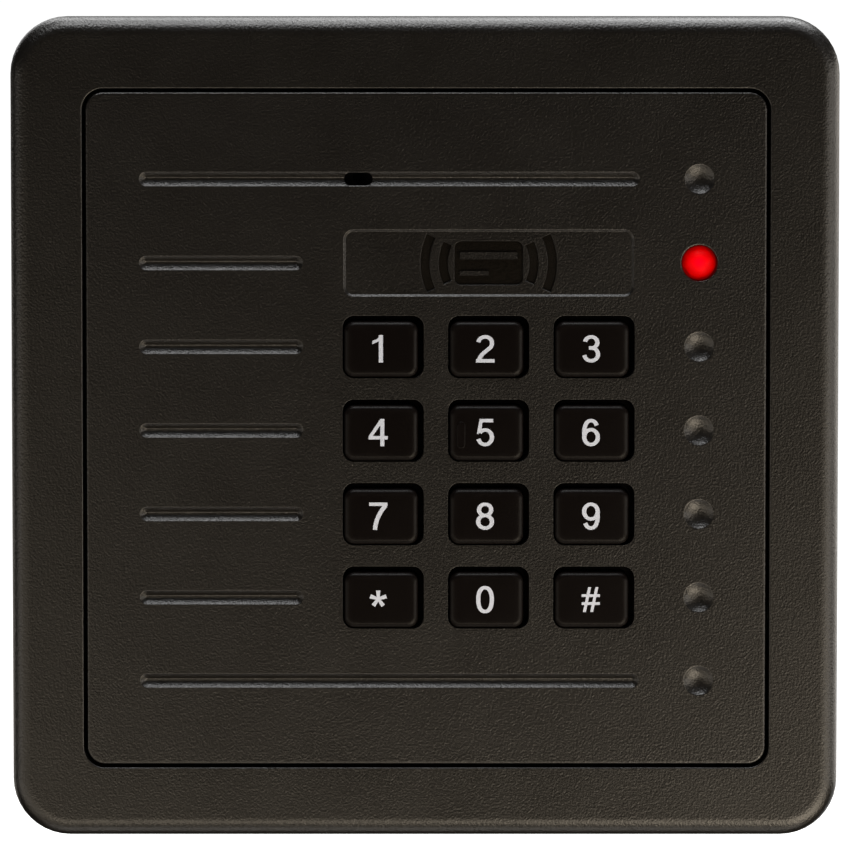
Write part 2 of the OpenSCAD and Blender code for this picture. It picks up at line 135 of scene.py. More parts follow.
def row_z(i):
    return ROW_MID_Z + (MID_ROW - i) * ROW_PITCH


# The plaque is level with the lamp
PLAQUE_Z = row_z(LAMP_ROW)


def key_place(i):
    """Middle of key number i, from its CAD node."""
    low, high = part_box("key_" + KEY_NAMES[i])
    return (low.x + high.x) / 2 / MM, (low.z + high.z) / 2 / MM


# ---- Mesh building ----


def point(x, z, depth):
    return Vector((x * MM, -depth * MM, z * MM))


def rect_ring(cx, cz, w, h, r, depth, steps=ARC_STEPS):
    """Points round a rectangle with round corners, counter-clockwise from the front."""
    r = max(min(r, w / 2 - TINY, h / 2 - TINY), TINY)
    ring = []
    for quarter, (sx, sz) in enumerate([(1, 1), (-1, 1), (-1, -1), (1, -1)]):
        for k in range(steps + 1):
            a = math.radians(90 * (quarter + k / steps))
            x = cx + sx * (w / 2 - r) + r * math.cos(a)
            z = cz + sz * (h / 2 - r) + r * math.sin(a)
            ring.append(point(x, z, depth))
    return ring


def round_ring(cx, cz, r, depth, steps=48):
    turn = 2 * math.pi / steps
    return [point(cx + r * math.cos(k * turn), cz + r * math.sin(k * turn), depth) for k in range(steps)]


def loft(name, rings, closed=False, wear=None):
    """Mesh through rings of equal length. A closed loft joins its last ring to its first, and
    an open one is capped at both ends. wear gives each ring's share of rubbed edge."""
    bm = bmesh.new()
    layer = bm.verts.layers.float.new("wear")
    rows = []
    for index, ring in enumerate(rings):
        row = [bm.verts.new(p) for p in ring]
        for v in row:
            v[layer] = wear[index] if wear else 0.0
        rows.append(row)
    count = len(rows[0])
    pairs = list(zip(rows, rows[1:]))
    if closed:
        pairs.append((rows[-1], rows[0]))
    for a, b in pairs:
        for k in range(count):
            j = (k + 1) % count
            bm.faces.new((a[k], a[j], b[j], b[k]))
    if not closed:
        bm.faces.new(rows[0])
        bm.faces.new(rows[-1])
    bmesh.ops.recalc_face_normals(bm, faces=bm.faces)
    mesh = bpy.data.meshes.new(name)
    bm.to_mesh(mesh)
    bm.free()
    piece = bpy.data.objects.new(name, mesh)
    bpy.context.scene.collection.objects.link(piece)
    return piece


def bake_modifiers(piece):
    """Replaces the piece's mesh with what its modifiers make."""
    bpy.context.view_layer.update()
    graph = bpy.context.evaluated_depsgraph_get()
    mesh = bpy.data.meshes.new_from_object(piece.evaluated_get(graph))
    old = piece.data
    piece.modifiers.clear()
    piece.data = mesh
    bpy.data.meshes.remove(old)


def join(pieces):
    """One object that holds the meshes of several."""
    first = pieces[0]
    bm = bmesh.new()
    for p in pieces:
        bm.from_mesh(p.data)
    bm.to_mesh(first.data)
    bm.free()
    for p in pieces[1:]:
        bpy.data.objects.remove(p)
    return first


def combine(piece, others, operation):
    """Boolean of the piece with others, which don't overlap each other."""
    tool = join(others)
    cut = piece.modifiers.new("combine", "BOOLEAN")
    cut.object = tool
    cut.operation = operation
    cut.solver = "EXACT"
    bake_modifiers(piece)
    bpy.data.objects.remove(tool)


def finish_shading(piece, sharp=40):
    """Smooth shading that stays crisp where two faces meet at more than this many degrees."""
    bm = bmesh.new()
    bm.from_mesh(piece.data)
    bmesh.ops.remove_doubles(bm, verts=bm.verts, dist=1e-7)
    limit = math.radians(sharp)
    for face in bm.faces:
        face.smooth = True
    for edge in bm.edges:
        edge.smooth = len(edge.link_faces) == 2 and edge.calc_face_angle(0) < limit
    bm.to_mesh(piece.data)
    bm.free()
    weigh = piece.modifiers.new("weighted_normals", "WEIGHTED_NORMAL")
    weigh.mode = "FACE_AREA"
    weigh.weight = 100
    weigh.keep_sharp = True


def fillet(r, steps):
    """Pairs (inset, drop) along a round edge of radius r, from the side to the front."""
    angles = [math.radians(90.0 * k / steps) for k in range(steps + 1)]
    return [(r * (1 - math.cos(a)), r * (1 - math.sin(a))) for a in angles]


def soft_step(slope, depth, lip, foot, steps=5):
    """Pairs (inset, drop) down a slope of this many degrees, between a round lip and a round foot
    of these radii."""
    slope = math.radians(slope)
    run = (depth - (lip + foot) * (1 - math.cos(slope))) / math.sin(slope)
    width = (lip + foot) * math.sin(slope) + run * math.cos(slope)
    turns = [slope * k / steps for k in range(steps + 1)]
    down = [(lip * math.sin(a), lip * (1 - math.cos(a))) for a in turns]
    level = [(width - foot * math.sin(a), depth - foot * (1 - math.cos(a))) for a in reversed(turns)]
    return down + level


# ---- Materials ----

# Moulded surfaces: sizes of the clouds in colour, wear and gloss, and the dust's spacing and size
TINT_CLOUD, WEAR_CLOUD, GLOSS_CLOUD = 22, 3.5, 9
DUST_GAP, DUST_SIZE, DUST_COLOUR = 5.0, 0.07, (0.16, 0.15, 0.14)


def new_material(name):
    material = bpy.data.materials.new(name)
    material.use_nodes = True
    tree = material.node_tree
    shader = tree.nodes["Principled BSDF"]
    return material, tree, shader


def add(tree, kind, **values):
    node = tree.nodes.new(kind)
    for key, value in values.items():
        setattr(node, key, value)
    return node


def noise(tree, coords, size, detail=2.0, rough=0.5):
    """Noise whose features are about size millimetres across."""
    node = add(tree, "ShaderNodeTexNoise")
    node.inputs["Scale"].default_value = 1 / (size * MM)
    node.inputs["Detail"].default_value = detail
    node.inputs["Roughness"].default_value = rough
    tree.links.new(coords, node.inputs["Vector"])
    return node.outputs["Fac"]


def cells(tree, coords, size):
    node = add(tree, "ShaderNodeTexVoronoi", feature="SMOOTH_F1")
    node.inputs["Scale"].default_value = 1 / (size * MM)
    node.inputs["Smoothness"].default_value = 0.6
    tree.links.new(coords, node.inputs["Vector"])
    return node.outputs["Distance"]


def spread(tree, value, low, high):
    """The middle of a noise stretched to run from low to high."""
    node = add(tree, "ShaderNodeMapRange", clamp=True)
    node.inputs["From Min"].default_value = 0.3
    node.inputs["From Max"].default_value = 0.7
    node.inputs["To Min"].default_value = low
    node.inputs["To Max"].default_value = high
    tree.links.new(value, node.inputs["Value"])
    return node.outputs["Result"]


def maths(tree, operation, a, b):
    node = add(tree, "ShaderNodeMath", operation=operation)
    for socket, value in zip(node.inputs, (a, b)):
        if isinstance(value, (int, float)):
            socket.default_value = value
        else:
            tree.links.new(value, socket)
    return node.outputs[0]


def blend_colours(tree, amount, a, b):
    node = add(tree, "ShaderNodeMix", data_type="RGBA")
    tree.links.new(amount, node.inputs["Factor"])
    for socket, value in ((node.inputs[6], a), (node.inputs[7], b)):
        if isinstance(value, tuple):
            socket.default_value = (*value, 1.0)
        else:
            tree.links.new(value, socket)
    return node.outputs[2]


def bump(tree, height, distance, shader, under=None):
    """Bump of this depth in millimetres, on top of another bump if under is given."""
    node = add(tree, "ShaderNodeBump")
    node.inputs["Distance"].default_value = distance * MM
    tree.links.new(height, node.inputs["Height"])
    if under is not None:
        tree.links.new(under, node.inputs["Normal"])
    tree.links.new(node.outputs["Normal"], shader.inputs["Normal"])
    return node.outputs["Normal"]


def specks(tree, coords, gap, size):
    """Mask of sparse specks of dust of about this size, about gap millimetres apart."""
    node = add(tree, "ShaderNodeTexVoronoi")
    node.inputs["Scale"].default_value = 1 / (gap * MM)
    tree.links.new(coords, node.inputs["Vector"])
    near = maths(tree, "LESS_THAN", node.outputs["Distance"], size / gap)
    picked = add(tree, "ShaderNodeSeparateColor")
    tree.links.new(node.outputs["Color"], picked.inputs["Color"])
    rare = maths(tree, "GREATER_THAN", picked.outputs[0], 0.75)
    return maths(tree, "MULTIPLY", near, rare)


def moulded(name, colour, rough=0.5, grain=0.5, depth=0.03, spec=0.5, worn=0.35, dust=True):
    """Textured moulded plastic or rubber: grain at two scales in the surface, a speckle of the
    same size in colour and gloss, slow clouds in both, rubbed edges and a little dust."""
    material, tree, shader = new_material(name)
    coords = add(tree, "ShaderNodeTexCoord").outputs["Object"]
    cloud = noise(tree, coords, TINT_CLOUD, 3)
    patch = noise(tree, coords, WEAR_CLOUD, 2)
    darker = tuple(c * 0.93 for c in colour)
    lighter = tuple(c * 1.07 for c in colour)
    bright = tuple(min(1.0, c * 3) for c in colour)
    scuffed = tuple(min(1.0, c * 2 + 0.003) for c in colour)
    tint = blend_colours(tree, spread(tree, cloud, 0.0, 1.0), darker, lighter)
    speckle = noise(tree, coords, grain, 2, 0.6)
    tint = blend_colours(tree, spread(tree, speckle, 0.0, 0.7), tint, bright)
    edge = add(tree, "ShaderNodeAttribute", attribute_name="wear").outputs["Fac"]
    rubbed = maths(tree, "MULTIPLY", edge, spread(tree, patch, 0.2, worn * 2))
    tint = blend_colours(tree, rubbed, tint, scuffed)
    if dust:
        tint = blend_colours(tree, specks(tree, coords, DUST_GAP, DUST_SIZE), tint, DUST_COLOUR)
    tree.links.new(tint, shader.inputs["Base Color"])
    gloss = spread(tree, noise(tree, coords, GLOSS_CLOUD, 3), rough - 0.015, rough + 0.02)
    gloss = maths(tree, "ADD", gloss, spread(tree, speckle, -0.04, 0.04))
    gloss = maths(tree, "SUBTRACT", gloss, maths(tree, "MULTIPLY", rubbed, 0.08))
    tree.links.new(gloss, shader.inputs["Roughness"])
    shader.inputs["Specular IOR Level"].default_value = spec
    under = bump(tree, cells(tree, coords, grain * 1.6), depth * 0.4, shader)
    bump(tree, noise(tree, coords, grain, 1, 0.4), depth, shader, under)
    return material


def metal(name, colour, rough, scratch=0.05):
    """Plain metal with fine scratches and cloudy gloss."""
    material, tree, shader = new_material(name)
    coords = add(tree, "ShaderNodeTexCoord").outputs["Object"]
    cloud = noise(tree, coords, 2.5, 3)
    tint = blend_colours(tree, spread(tree, cloud, 0.0, 1.0), tuple(c * 0.85 for c in colour), colour)
    tree.links.new(tint, shader.inputs["Base Color"])
    tree.links.new(spread(tree, cloud, rough - 0.06, rough + 0.1), shader.inputs["Roughness"])
    shader.inputs["Metallic"].default_value = 1.0
    bump(tree, noise(tree, coords, 0.25, 4, 0.7), scratch * 0.1, shader)
    return material


def laminate():
    """Green solder mask with the faint weave of the glass cloth under it."""
    material, tree, shader = new_material("board_laminate")
    coords = add(tree, "ShaderNodeTexCoord").outputs["Object"]
    weave = add(tree, "ShaderNodeTexChecker")
    weave.inputs["Scale"].default_value = 1 / (0.5 * MM)
    weave.inputs["Color1"].default_value = (0.012, 0.075, 0.03, 1)
    weave.inputs["Color2"].default_value = (0.015, 0.09, 0.036, 1)
    tree.links.new(coords, weave.inputs["Vector"])
    cloud = spread(tree, noise(tree, coords, 8, 3), 0.0, 0.5)
    tint = blend_colours(tree, cloud, weave.outputs["Color"], (0.01, 0.06, 0.028))
    tree.links.new(tint, shader.inputs["Base Color"])
    tree.links.new(spread(tree, noise(tree, coords, 4, 2), 0.28, 0.42), shader.inputs["Roughness"])
    bump(tree, weave.outputs["Fac"], 0.01, shader)
    return material


def winding():
    """Enamelled copper wire, laid side by side across the coil."""
    material, tree, shader = new_material("copper_wire")
    coords = add(tree, "ShaderNodeTexCoord").outputs["Object"]
    wire = add(tree, "ShaderNodeTexWave", wave_type="BANDS", bands_direction="Y", wave_profile="SIN")
    wire.inputs["Scale"].default_value = 1 / (1.2 * MM)
    wire.inputs["Distortion"].default_value = 0.6
    tree.links.new(coords, wire.inputs["Vector"])
    tint = blend_colours(tree, wire.outputs["Fac"], (0.16, 0.045, 0.015), (0.5, 0.17, 0.06))
    tree.links.new(tint, shader.inputs["Base Color"])
    shader.inputs["Metallic"].default_value = 0.8
    tree.links.new(spread(tree, noise(tree, coords, 1.5, 2), 0.25, 0.4), shader.inputs["Roughness"])
    bump(tree, wire.outputs["Fac"], 0.08, shader)
    return material


def foam():
    """Closed-cell foam."""
    material, tree, shader = new_material("foam")
    coords = add(tree, "ShaderNodeTexCoord").outputs["Object"]
    pores = cells(tree, coords, 0.55)
    tint = blend_colours(tree, spread(tree, pores, 0.0, 1.0), (0.012, 0.012, 0.013), (0.04, 0.04, 0.042))
    tree.links.new(tint, shader.inputs["Base Color"])
    tree.links.new(spread(tree, noise(tree, coords, 2, 2), 0.8, 0.95), shader.inputs["Roughness"])
    bump(tree, pores, 0.25, shader)
    return material


def lamp_glow(x, z):
    """Red lens lit from inside: brightest in the middle, dark at its rim."""
    material, tree, shader = new_material("lamp_lens")
    coords = add(tree, "ShaderNodeTexCoord").outputs["Object"]
    centre = add(tree, "ShaderNodeVectorMath", operation="SUBTRACT")
    tree.links.new(coords, centre.inputs[0])
    centre.inputs[1].default_value = (x * MM, 0, z * MM)
    flat = add(tree, "ShaderNodeVectorMath", operation="MULTIPLY")
    tree.links.new(centre.outputs[0], flat.inputs[0])
    flat.inputs[1].default_value = (1, 0, 1)
    length = add(tree, "ShaderNodeVectorMath", operation="LENGTH")
    tree.links.new(flat.outputs[0], length.inputs[0])
    away = maths(tree, "DIVIDE", length.outputs["Value"], LAMP_R * MM)
    uneven = spread(tree, noise(tree, coords, 1.4, 1), -0.06, 0.06)
    ramp = add(tree, "ShaderNodeValToRGB")
    tree.links.new(maths(tree, "ADD", away, uneven), ramp.inputs["Fac"])
    stops = [(0.0, (1.0, 0.0, 0.014)), (0.45, (0.9, 0, 0.003)), (0.8, (0.5, 0, 0)), (1.0, (0.16, 0, 0))]
    while len(ramp.color_ramp.elements) < len(stops):
        ramp.color_ramp.elements.new(0.5)
    for element, (place, colour) in zip(ramp.color_ramp.elements, stops):
        element.position = place
        element.color = (*colour, 1)
    tree.links.new(ramp.outputs["Color"], shader.inputs["Emission Color"])
    shader.inputs["Emission Strength"].default_value = 1.0
    shader.inputs["Base Color"].default_value = (0.08, 0.0, 0.0, 1)
    shader.inputs["Specular IOR Level"].default_value = 0.03
    tree.links.new(spread(tree, noise(tree, coords, 0.8, 2), 0.4, 0.5), shader.inputs["Roughness"])
    return material


def legend_ink():
    """Pale printed ink, a little uneven at its edges and in its cover."""
    material, tree, shader = new_material("legend_ink")
    coords = add(tree, "ShaderNodeTexCoord").outputs["Object"]
    cover = noise(tree, coords, 0.5, 3, 0.6)
    tint = blend_colours(tree, spread(tree, cover, 0.0, 1.0), (0.46, 0.5, 0.6), (0.5, 0.54, 0.645))
    tree.links.new(tint, shader.inputs["Base Color"])
    tree.links.new(spread(tree, noise(tree, coords, 0.9, 2), 0.5, 0.7), shader.inputs["Roughness"])
    bump(tree, cover, 0.006, shader)
    return material


def paint(piece, *materials):
    piece.data.materials.clear()
    for material in materials:
        piece.data.materials.append(material)


def place(piece, body, slot, *nodes):
    """The piece rides on a body and stands for CAD nodes, if any, which it hides. slot is not used."""
    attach(piece, body)
    if nodes:
        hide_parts(*nodes)


frame_plastic = moulded("frame_plastic", (0.0013, 0.0009, 0.0005), rough=0.36, grain=0.3, depth=0.055)
panel_plastic = moulded("panel_plastic", (0.0012, 0.0008, 0.0005), rough=0.36, grain=0.3, depth=0.06)
key_rubber = moulded("key_rubber", (0.0015, 0.001, 0.0009), rough=0.34, grain=0.2, depth=0.01, spec=0.08)
plate_plastic = moulded("plate_plastic", (0.018, 0.018, 0.017), rough=0.5, grain=0.5, depth=0.02)
black_plastic = moulded("black_plastic", (0.011, 0.011, 0.012), rough=0.42, grain=0.3, depth=0.01)
mat_rubber = moulded("mat_rubber", (0.008, 0.008, 0.008), rough=0.62, grain=0.4, depth=0.01)
carbon = moulded("carbon", (0.012, 0.012, 0.013), rough=0.55, grain=0.15, depth=0.01, dust=False)
chip_epoxy = moulded("chip_epoxy", (0.01, 0.01, 0.01), rough=0.55, grain=0.15, depth=0.01, dust=False)
bobbin_plastic = moulded("bobbin_plastic", (0.55, 0.5, 0.38), rough=0.45, grain=0.5, depth=0.01)
terminal_plastic = moulded("terminal_plastic", (0.012, 0.13, 0.045), rough=0.4, grain=0.4, depth=0.008)
resistor_ceramic = moulded("resistor_ceramic", (0.015, 0.015, 0.016), rough=0.4, grain=0.2, depth=0.01)
symbol_floor = moulded(
    "symbol_floor", (0.002, 0.0015, 0.001), rough=0.42, grain=0.3, depth=0.02, spec=0.08, dust=False
)
steel = metal("steel", (0.55, 0.55, 0.56), 0.32)
can_aluminium = metal("can_aluminium", (0.78, 0.78, 0.79), 0.28)
ink = legend_ink()

# Material of each slot. The one node in lamp_lens is hidden, because lamp_dome replaces it.
NODE_MATERIALS = {
    "plate_plastic": plate_plastic, "foam": foam(), "frame_plastic": frame_plastic,
    "panel_plastic": panel_plastic, "board_laminate": laminate(), "carbon_print": carbon,
    "mat_rubber": mat_rubber, "key_rubber": key_rubber, "pill_carbon": carbon,
    "lamp_lens": steel, "black_plastic": black_plastic, "steel": steel,
    "bobbin_plastic": bobbin_plastic, "copper_wire": winding(),
    "terminal_plastic": terminal_plastic, "chip_epoxy": chip_epoxy,
    "can_aluminium": can_aluminium, "resistor_ceramic": resistor_ceramic,
}
for sub in frame["record"]["subparts"]:
    paint(frame["nodes"][sub["node"]], NODE_MATERIALS[sub["material_slot"]])


# ---- Frame ----


def upright_ring(x, depth, r, z, steps=32):
    """A level ring of points, about an axis that runs up."""
    turn = 2 * math.pi / steps
    return [point(x + r * math.cos(k * turn), z, depth + r * math.sin(k * turn)) for k in range(steps)]


def screw_hole():
    """Counterbore and clearance hole of the cover screw, in the frame's lower wall."""
    low = -FRAME_H / 2
    seat = low + HEAD_SINK
    profile = [(HEAD_R, low - OVER), (HEAD_R, seat), (SHANK_R, seat), (SHANK_R, low + FRAME_WALL + OVER)]
    return loft("screw_hole", [upright_ring(0, FIXING_DEPTH, r, z) for r, z in profile])


def hook(x):
    """Hook that holds the frame's upper wall to the wall plate."""
    top = FRAME_H / 2 - FRAME_WALL + HOOK_ROOT
    middle, height = (HOOK_LOW + top) / 2, top - HOOK_LOW
    depths = (FIXING_DEPTH - HOOK_T / 2, FIXING_DEPTH + HOOK_T / 2)
    return loft("hook", [rect_ring(x, middle, HOOK_W, height, HOOK_R, depth, 3) for depth in depths])


def build_frame():
    """The outer frame: one closed loft round its wall, with its screw hole and hooks."""
    open_w, open_h = PANEL_W + 2 * PANEL_GAP, PANEL_H + 2 * PANEL_GAP
    open_r = PANEL_R + PANEL_GAP
    inner_w, inner_h = FRAME_W - 2 * FRAME_WALL, FRAME_H - 2 * FRAME_WALL
    inner_r = FRAME_R - FRAME_WALL
    rings, wear = [], []

    def opening(grow, depth, rubbed=0.0):
        rings.append(rect_ring(PANEL_X, PANEL_Z, open_w + 2 * grow, open_h + 2 * grow, open_r + grow, depth))
        wear.append(rubbed)

    def outside(inset, depth, rubbed=0.0):
        rings.append(rect_ring(0, 0, FRAME_W - 2 * inset, FRAME_H - 2 * inset, FRAME_R - inset, depth))
        wear.append(rubbed)

    def inside(depth):
        rings.append(rect_ring(0, 0, inner_w, inner_h, inner_r, depth))
        wear.append(0.0)

    opening(0, FACE - BORDER_T)
    for inset, drop in fillet(OPENING_LIP, 4):
        opening(inset, FACE - drop, LIP_WEAR)
    outside(FRAME_EDGE + FRAME_LAND, FACE)
    for inset, drop in reversed(fillet(FRAME_EDGE, 14)):
        outside(inset, FACE - drop, FRAME_WEAR)
    outside(0, FRAME_BACK + BACK_EDGE)
    outside(0.3 * BACK_EDGE, FRAME_BACK + 0.3 * BACK_EDGE, FRAME_WEAR)
    outside(BACK_EDGE, FRAME_BACK)
    inside(FRAME_BACK)
    inside(FACE - BORDER_T)
    piece = loft("frame_shell", rings, closed=True, wear=wear)
    combine(piece, [hook(-HOOK_X), hook(HOOK_X)], "UNION")
    combine(piece, [screw_hole()], "DIFFERENCE")
    return piece


frame_shell = build_frame()
finish_shading(frame_shell)
paint(frame_shell, frame_plastic)
place(frame_shell, "housing", "frame_plastic", "bezel_frame")

# ---- Panel ----


def through(mouth):
    """Sections of a hole through the panel: its mouth, drawn out above the face and below."""
    return [(mouth[0][0], -OVER), *mouth, (mouth[-1][0], PANEL_T + OVER)]


def key_opening(i):
    """Opening for key number i, with a slightly rounded edge."""
    cx = KEY_MID_X + (i % KEY_COLUMNS - 1) * KEY_PITCH
    cz = row_z(FIRST_KEY_ROW + i // KEY_COLUMNS)
    rings = []
    for grow, drop in through(list(reversed(fillet(OPEN_EDGE, 6)))):
        rings.append(rect_ring(cx, cz, OPEN_W + 2 * grow, OPEN_H + 2 * grow, OPEN_R + grow, FACE - drop))
    return loft("key_opening", rings)


def groove(i):
    """Groove in row i, as deep at its round ends as in the middle."""
    right = GROOVE_RIGHT if i in LONG_GROOVE_ROWS else SHORT_GROOVE_RIGHT
    half = GROOVE_W / 2
    middle, run = (GROOVE_LEFT + right) / 2, right - GROOVE_LEFT - GROOVE_W
    rings = [rect_ring(middle, row_z(i), run + GROOVE_W, GROOVE_W, half, FACE + OVER)]
    for inset, drop in soft_step(GROOVE_SLOPE, GROOVE_T, GROOVE_LIP, GROOVE_FOOT):
        narrow = 2 * max(half - inset, TIP)
        rings.append(rect_ring(middle, row_z(i), run + narrow, narrow, narrow / 2, FACE - drop))
    return loft("groove", rings)


def dimple(i):
    """Shallow bowl at the right of row i."""
    half = DIMPLE_W / 2
    rings = [round_ring(DIMPLE_X, row_z(i), half, FACE + OVER)]
    for inset, drop in soft_step(DIMPLE_SLOPE, DIMPLE_T, DIMPLE_LIP, DIMPLE_BOWL, 8):
        rings.append(round_ring(DIMPLE_X, row_z(i), max(half - inset, TIP), FACE - drop))
    return loft("dimple", rings)


def lamp_hole():
    """The lamp's hole, in the place of a dimple."""
    rings = [round_ring(DIMPLE_X, row_z(LAMP_ROW), r, FACE - drop) for r, drop in through(LAMP_MOUTH)]
    return loft("lamp_hole", rings)


def plaque():
    """The shallow recess that holds the symbol."""
    wide = 2 * PLAQUE_SPREAD
    rings = [rect_ring(PLAQUE_X, PLAQUE_Z, PLAQUE_W + wide, PLAQUE_H + wide, PLAQUE_R, FACE + OVER)]
    for inset, drop in soft_step(PLAQUE_SLOPE, PLAQUE_T, PLAQUE_LIP, PLAQUE_FOOT):
        less = 2 * inset - wide
        w, h = PLAQUE_W - less, PLAQUE_H - less
        rings.append(rect_ring(PLAQUE_X, PLAQUE_Z, w, h, PLAQUE_R - inset, FACE - drop))
    return loft("plaque", rings)


def wave(r, side, steps=14):
    """One wave of the symbol: a thick arc about the plaque's middle."""
    rings = []
    for grow, drop in SYMBOL_EDGE:
        depth = FACE - PLAQUE_T - drop
        end = math.radians(WAVE_REACH) + grow / r
        outer = [(r + grow, end * (2 * k / steps - 1)) for k in range(steps + 1)]
        inner = [(r - WAVE_T - grow, -a) for _, a in outer]
        ring = []
        for d, a in outer + inner:
            ring.append(point(PLAQUE_X + side * d * math.cos(a), PLAQUE_Z + d * math.sin(a), depth))
        rings.append(ring)
    return loft("wave", rings)


def card():
    """The symbol's card, with its two marks left standing."""
    floor = FACE - PLAQUE_T
    rings = []
    for grow, drop in SYMBOL_EDGE:
        w, h = CARD_W + 2 * grow, CARD_H + 2 * grow
        rings.append(rect_ring(PLAQUE_X, PLAQUE_Z, w, h, CARD_R + grow, floor - drop))
    tool = loft("card", rings)
    marks = []
    for x, z, w, h in CARD_MARKS:
        ends = [rect_ring(PLAQUE_X + x, PLAQUE_Z + z, w, h, MARK_R, floor - drop) for drop in MARK_SPAN]
        marks.append(loft("mark", ends))
    combine(tool, marks, "DIFFERENCE")
    return tool


def port():
    """The beeper's port, through the floor of the top groove."""
    rings = []
    for grow, drop in through(PORT_MOUTH):
        w, h = PORT_LEN + 2 * grow, PORT_W + 2 * grow
        rings.append(rect_ring(PORT_X, row_z(0), w, h, h / 2, FACE - drop))
    return loft("port", rings)


def build_panel():
    """Front panel and housing walls: a loft with everything cut into its face."""
    rings, wear = [], []

    def outline(inset, r, depth, rubbed=0.0):
        rings.append(rect_ring(PANEL_X, PANEL_Z, PANEL_W - 2 * inset, PANEL_H - 2 * inset, r, depth))
        wear.append(rubbed)

    outline(HOUSING_WALL, HOUSING_R, PANEL_BACK)
    outline(HOUSING_WALL, HOUSING_R, RIM_DEPTH)
    outline(0, PANEL_R, RIM_DEPTH)
    for inset, drop in fillet(PANEL_EDGE, 5):
        outline(inset, PANEL_R - inset, FACE - drop, PANEL_WEAR)
    inset = PANEL_EDGE + PANEL_LAND
    outline(inset, PANEL_R - inset, FACE)
    piece = loft("panel_face", rings, wear=wear)
    tools = [key_opening(i) for i in range(len(KEY_NAMES))]
    tools += [groove(i) for i in range(ROWS)]
    tools += [dimple(i) for i in range(ROWS) if i != LAMP_ROW]
    combine(piece, tools + [lamp_hole(), plaque()], "DIFFERENCE")
    waves = [wave(r, side) for r in WAVE_RADII for side in (-1, 1)]
    combine(piece, waves + [card()], "DIFFERENCE")
    combine(piece, [port()], "DIFFERENCE")
    return piece


def on_symbol_floor(face):
    x, z, depth = face.center.x / MM, face.center.z / MM, -face.center.y / MM
    level = abs(depth - (FACE - PLAQUE_T - SYMBOL_T)) < 0.02
    return level and abs(z - PLAQUE_Z) < PLAQUE_H / 2 and abs(x - PLAQUE_X) < SYMBOL_REACH


panel_face = build_panel()
finish_shading(panel_face, 38)
paint(panel_face, panel_plastic, symbol_floor)
for face in panel_face.data.polygons:
    face.material_index = int(on_symbol_floor(face))
place(panel_face, "housing", "panel_plastic", "front_panel")

# ---- Keys ----


def tactile_bar(cx, cz):
    """The low bar on one key, which fingers can find."""
    top = KEY_TOP - TACTILE_SINK
    rings = []
    for inset, rise in TACTILE_PROFILE:
        w, h = TACTILE_W - 2 * inset, TACTILE_H - 2 * inset
        rings.append(rect_ring(cx, cz, w, h, TACTILE_W / 2 - inset, top + rise))
    return loft("bar", rings)


def build_key(i):
    """A key with its flange, a soft edge round its top and a slightly crowned face."""
    cx, cz = key_place(i)
    body = "key_" + KEY_NAMES[i]
    rings, wear = [], []

    def outline(w, h, r, depth, rubbed=0.0):
        rings.append(rect_ring(cx, cz, w, h, r, depth, 8))
        wear.append(rubbed)

    outline(FLANGE_W, FLANGE_H, FLANGE_R, FLANGE_TOP - FLANGE_T)
    outline(FLANGE_W, FLANGE_H, FLANGE_R, FLANGE_TOP)
    outline(KEY_W + KEY_ROOT, KEY_H + KEY_ROOT, KEY_R + KEY_ROOT / 2, FLANGE_TOP)
    outline(KEY_W, KEY_H, KEY_R, FLANGE_TOP + KEY_ROOT_H)
    side_top = KEY_TOP - KEY_CROWN
    for inset, drop in fillet(KEY_EDGE, 8):
        r = KEY_R - inset * CORNER_SHRINK
        outline(KEY_W - 2 * inset, KEY_H - 2 * inset, r, side_top - drop, KEY_WEAR)
    # Rings of the crown, by their share of the way from the round edge to the middle
    for share in (0.12, 0.3, 0.55, 0.8):
        inset = KEY_EDGE + share * (KEY_H / 2 - KEY_EDGE)
        rise = KEY_CROWN * (1 - (1 - share) ** 2)
        r = max(KEY_R - inset * CORNER_SHRINK, KEY_MIN_R)
        outline(KEY_W - 2 * inset, KEY_H - 2 * inset, r, side_top + rise)
    piece = loft(body + "_cap", rings, wear=wear)
    if KEY_NAMES[i] == TACTILE_KEY:
        combine(piece, [tactile_bar(cx + TACTILE_X, cz + TACTILE_Z)], "UNION")
    finish_shading(piece, 50)
    paint(piece, key_rubber)
    place(piece, body, "key_rubber", body)


for i in range(len(KEY_NAMES)):
    build_key(i)

# ---- Legends ----


def arc(cx, cz, rx, rz, a0, a1, n=26, power=2.0):
    """Points along an ellipse from angle a0 to a1, squarer where power is above 2."""
    points = []
    for k in range(n + 1):
        a = math.radians(a0 + (a1 - a0) * k / n)
        c, s = math.cos(a), math.sin(a)
        x = math.copysign(abs(c) ** (2 / power), c)
        z = math.copysign(abs(s) ** (2 / power), s)
        points.append((cx + rx * x, cz + rz * z))
    return points


def bezier(p0, p1, p2, p3, n=18):
    points = []
    for k in range(n + 1):
        t = k / n
        weights = ((1 - t) ** 3, 3 * t * (1 - t) ** 2, 3 * t * t * (1 - t), t**3)
        points.append(tuple(sum(w * p[axis] for w, p in zip(weights, (p0, p1, p2, p3))) for axis in (0, 1)))
    return points


def stroke(points, bar=BAR, closed=False):
    """Left and right sides of a pen stroke: STEM thick where it runs up, bar where it runs across."""
    left, right = [], []
    count = len(points)
    for k, (x, z) in enumerate(points):
        before = points[k - 1] if k or closed else points[k]
        after = points[(k + 1) % count] if k < count - 1 or closed else points[k]
        dx, dz = after[0] - before[0], after[1] - before[1]
        size = math.hypot(dx, dz)
        dx, dz = dx / size, dz / size
        half = math.hypot(STEM * dz, bar * dx) / 2
        left.append((x - dz * half, z + dx * half))
        right.append((x + dz * half, z - dx * half))
    return ("strip", left, right, closed)


def loop(cx, cz, rx, rz, steps, power=2.0):
    """A closed stroke round an ellipse."""
    return stroke(arc(cx, cz, rx, rz, 0, 360 - 360 / steps, steps - 1, power), closed=True)


def shape(*corners):
    return ("shape", list(corners))


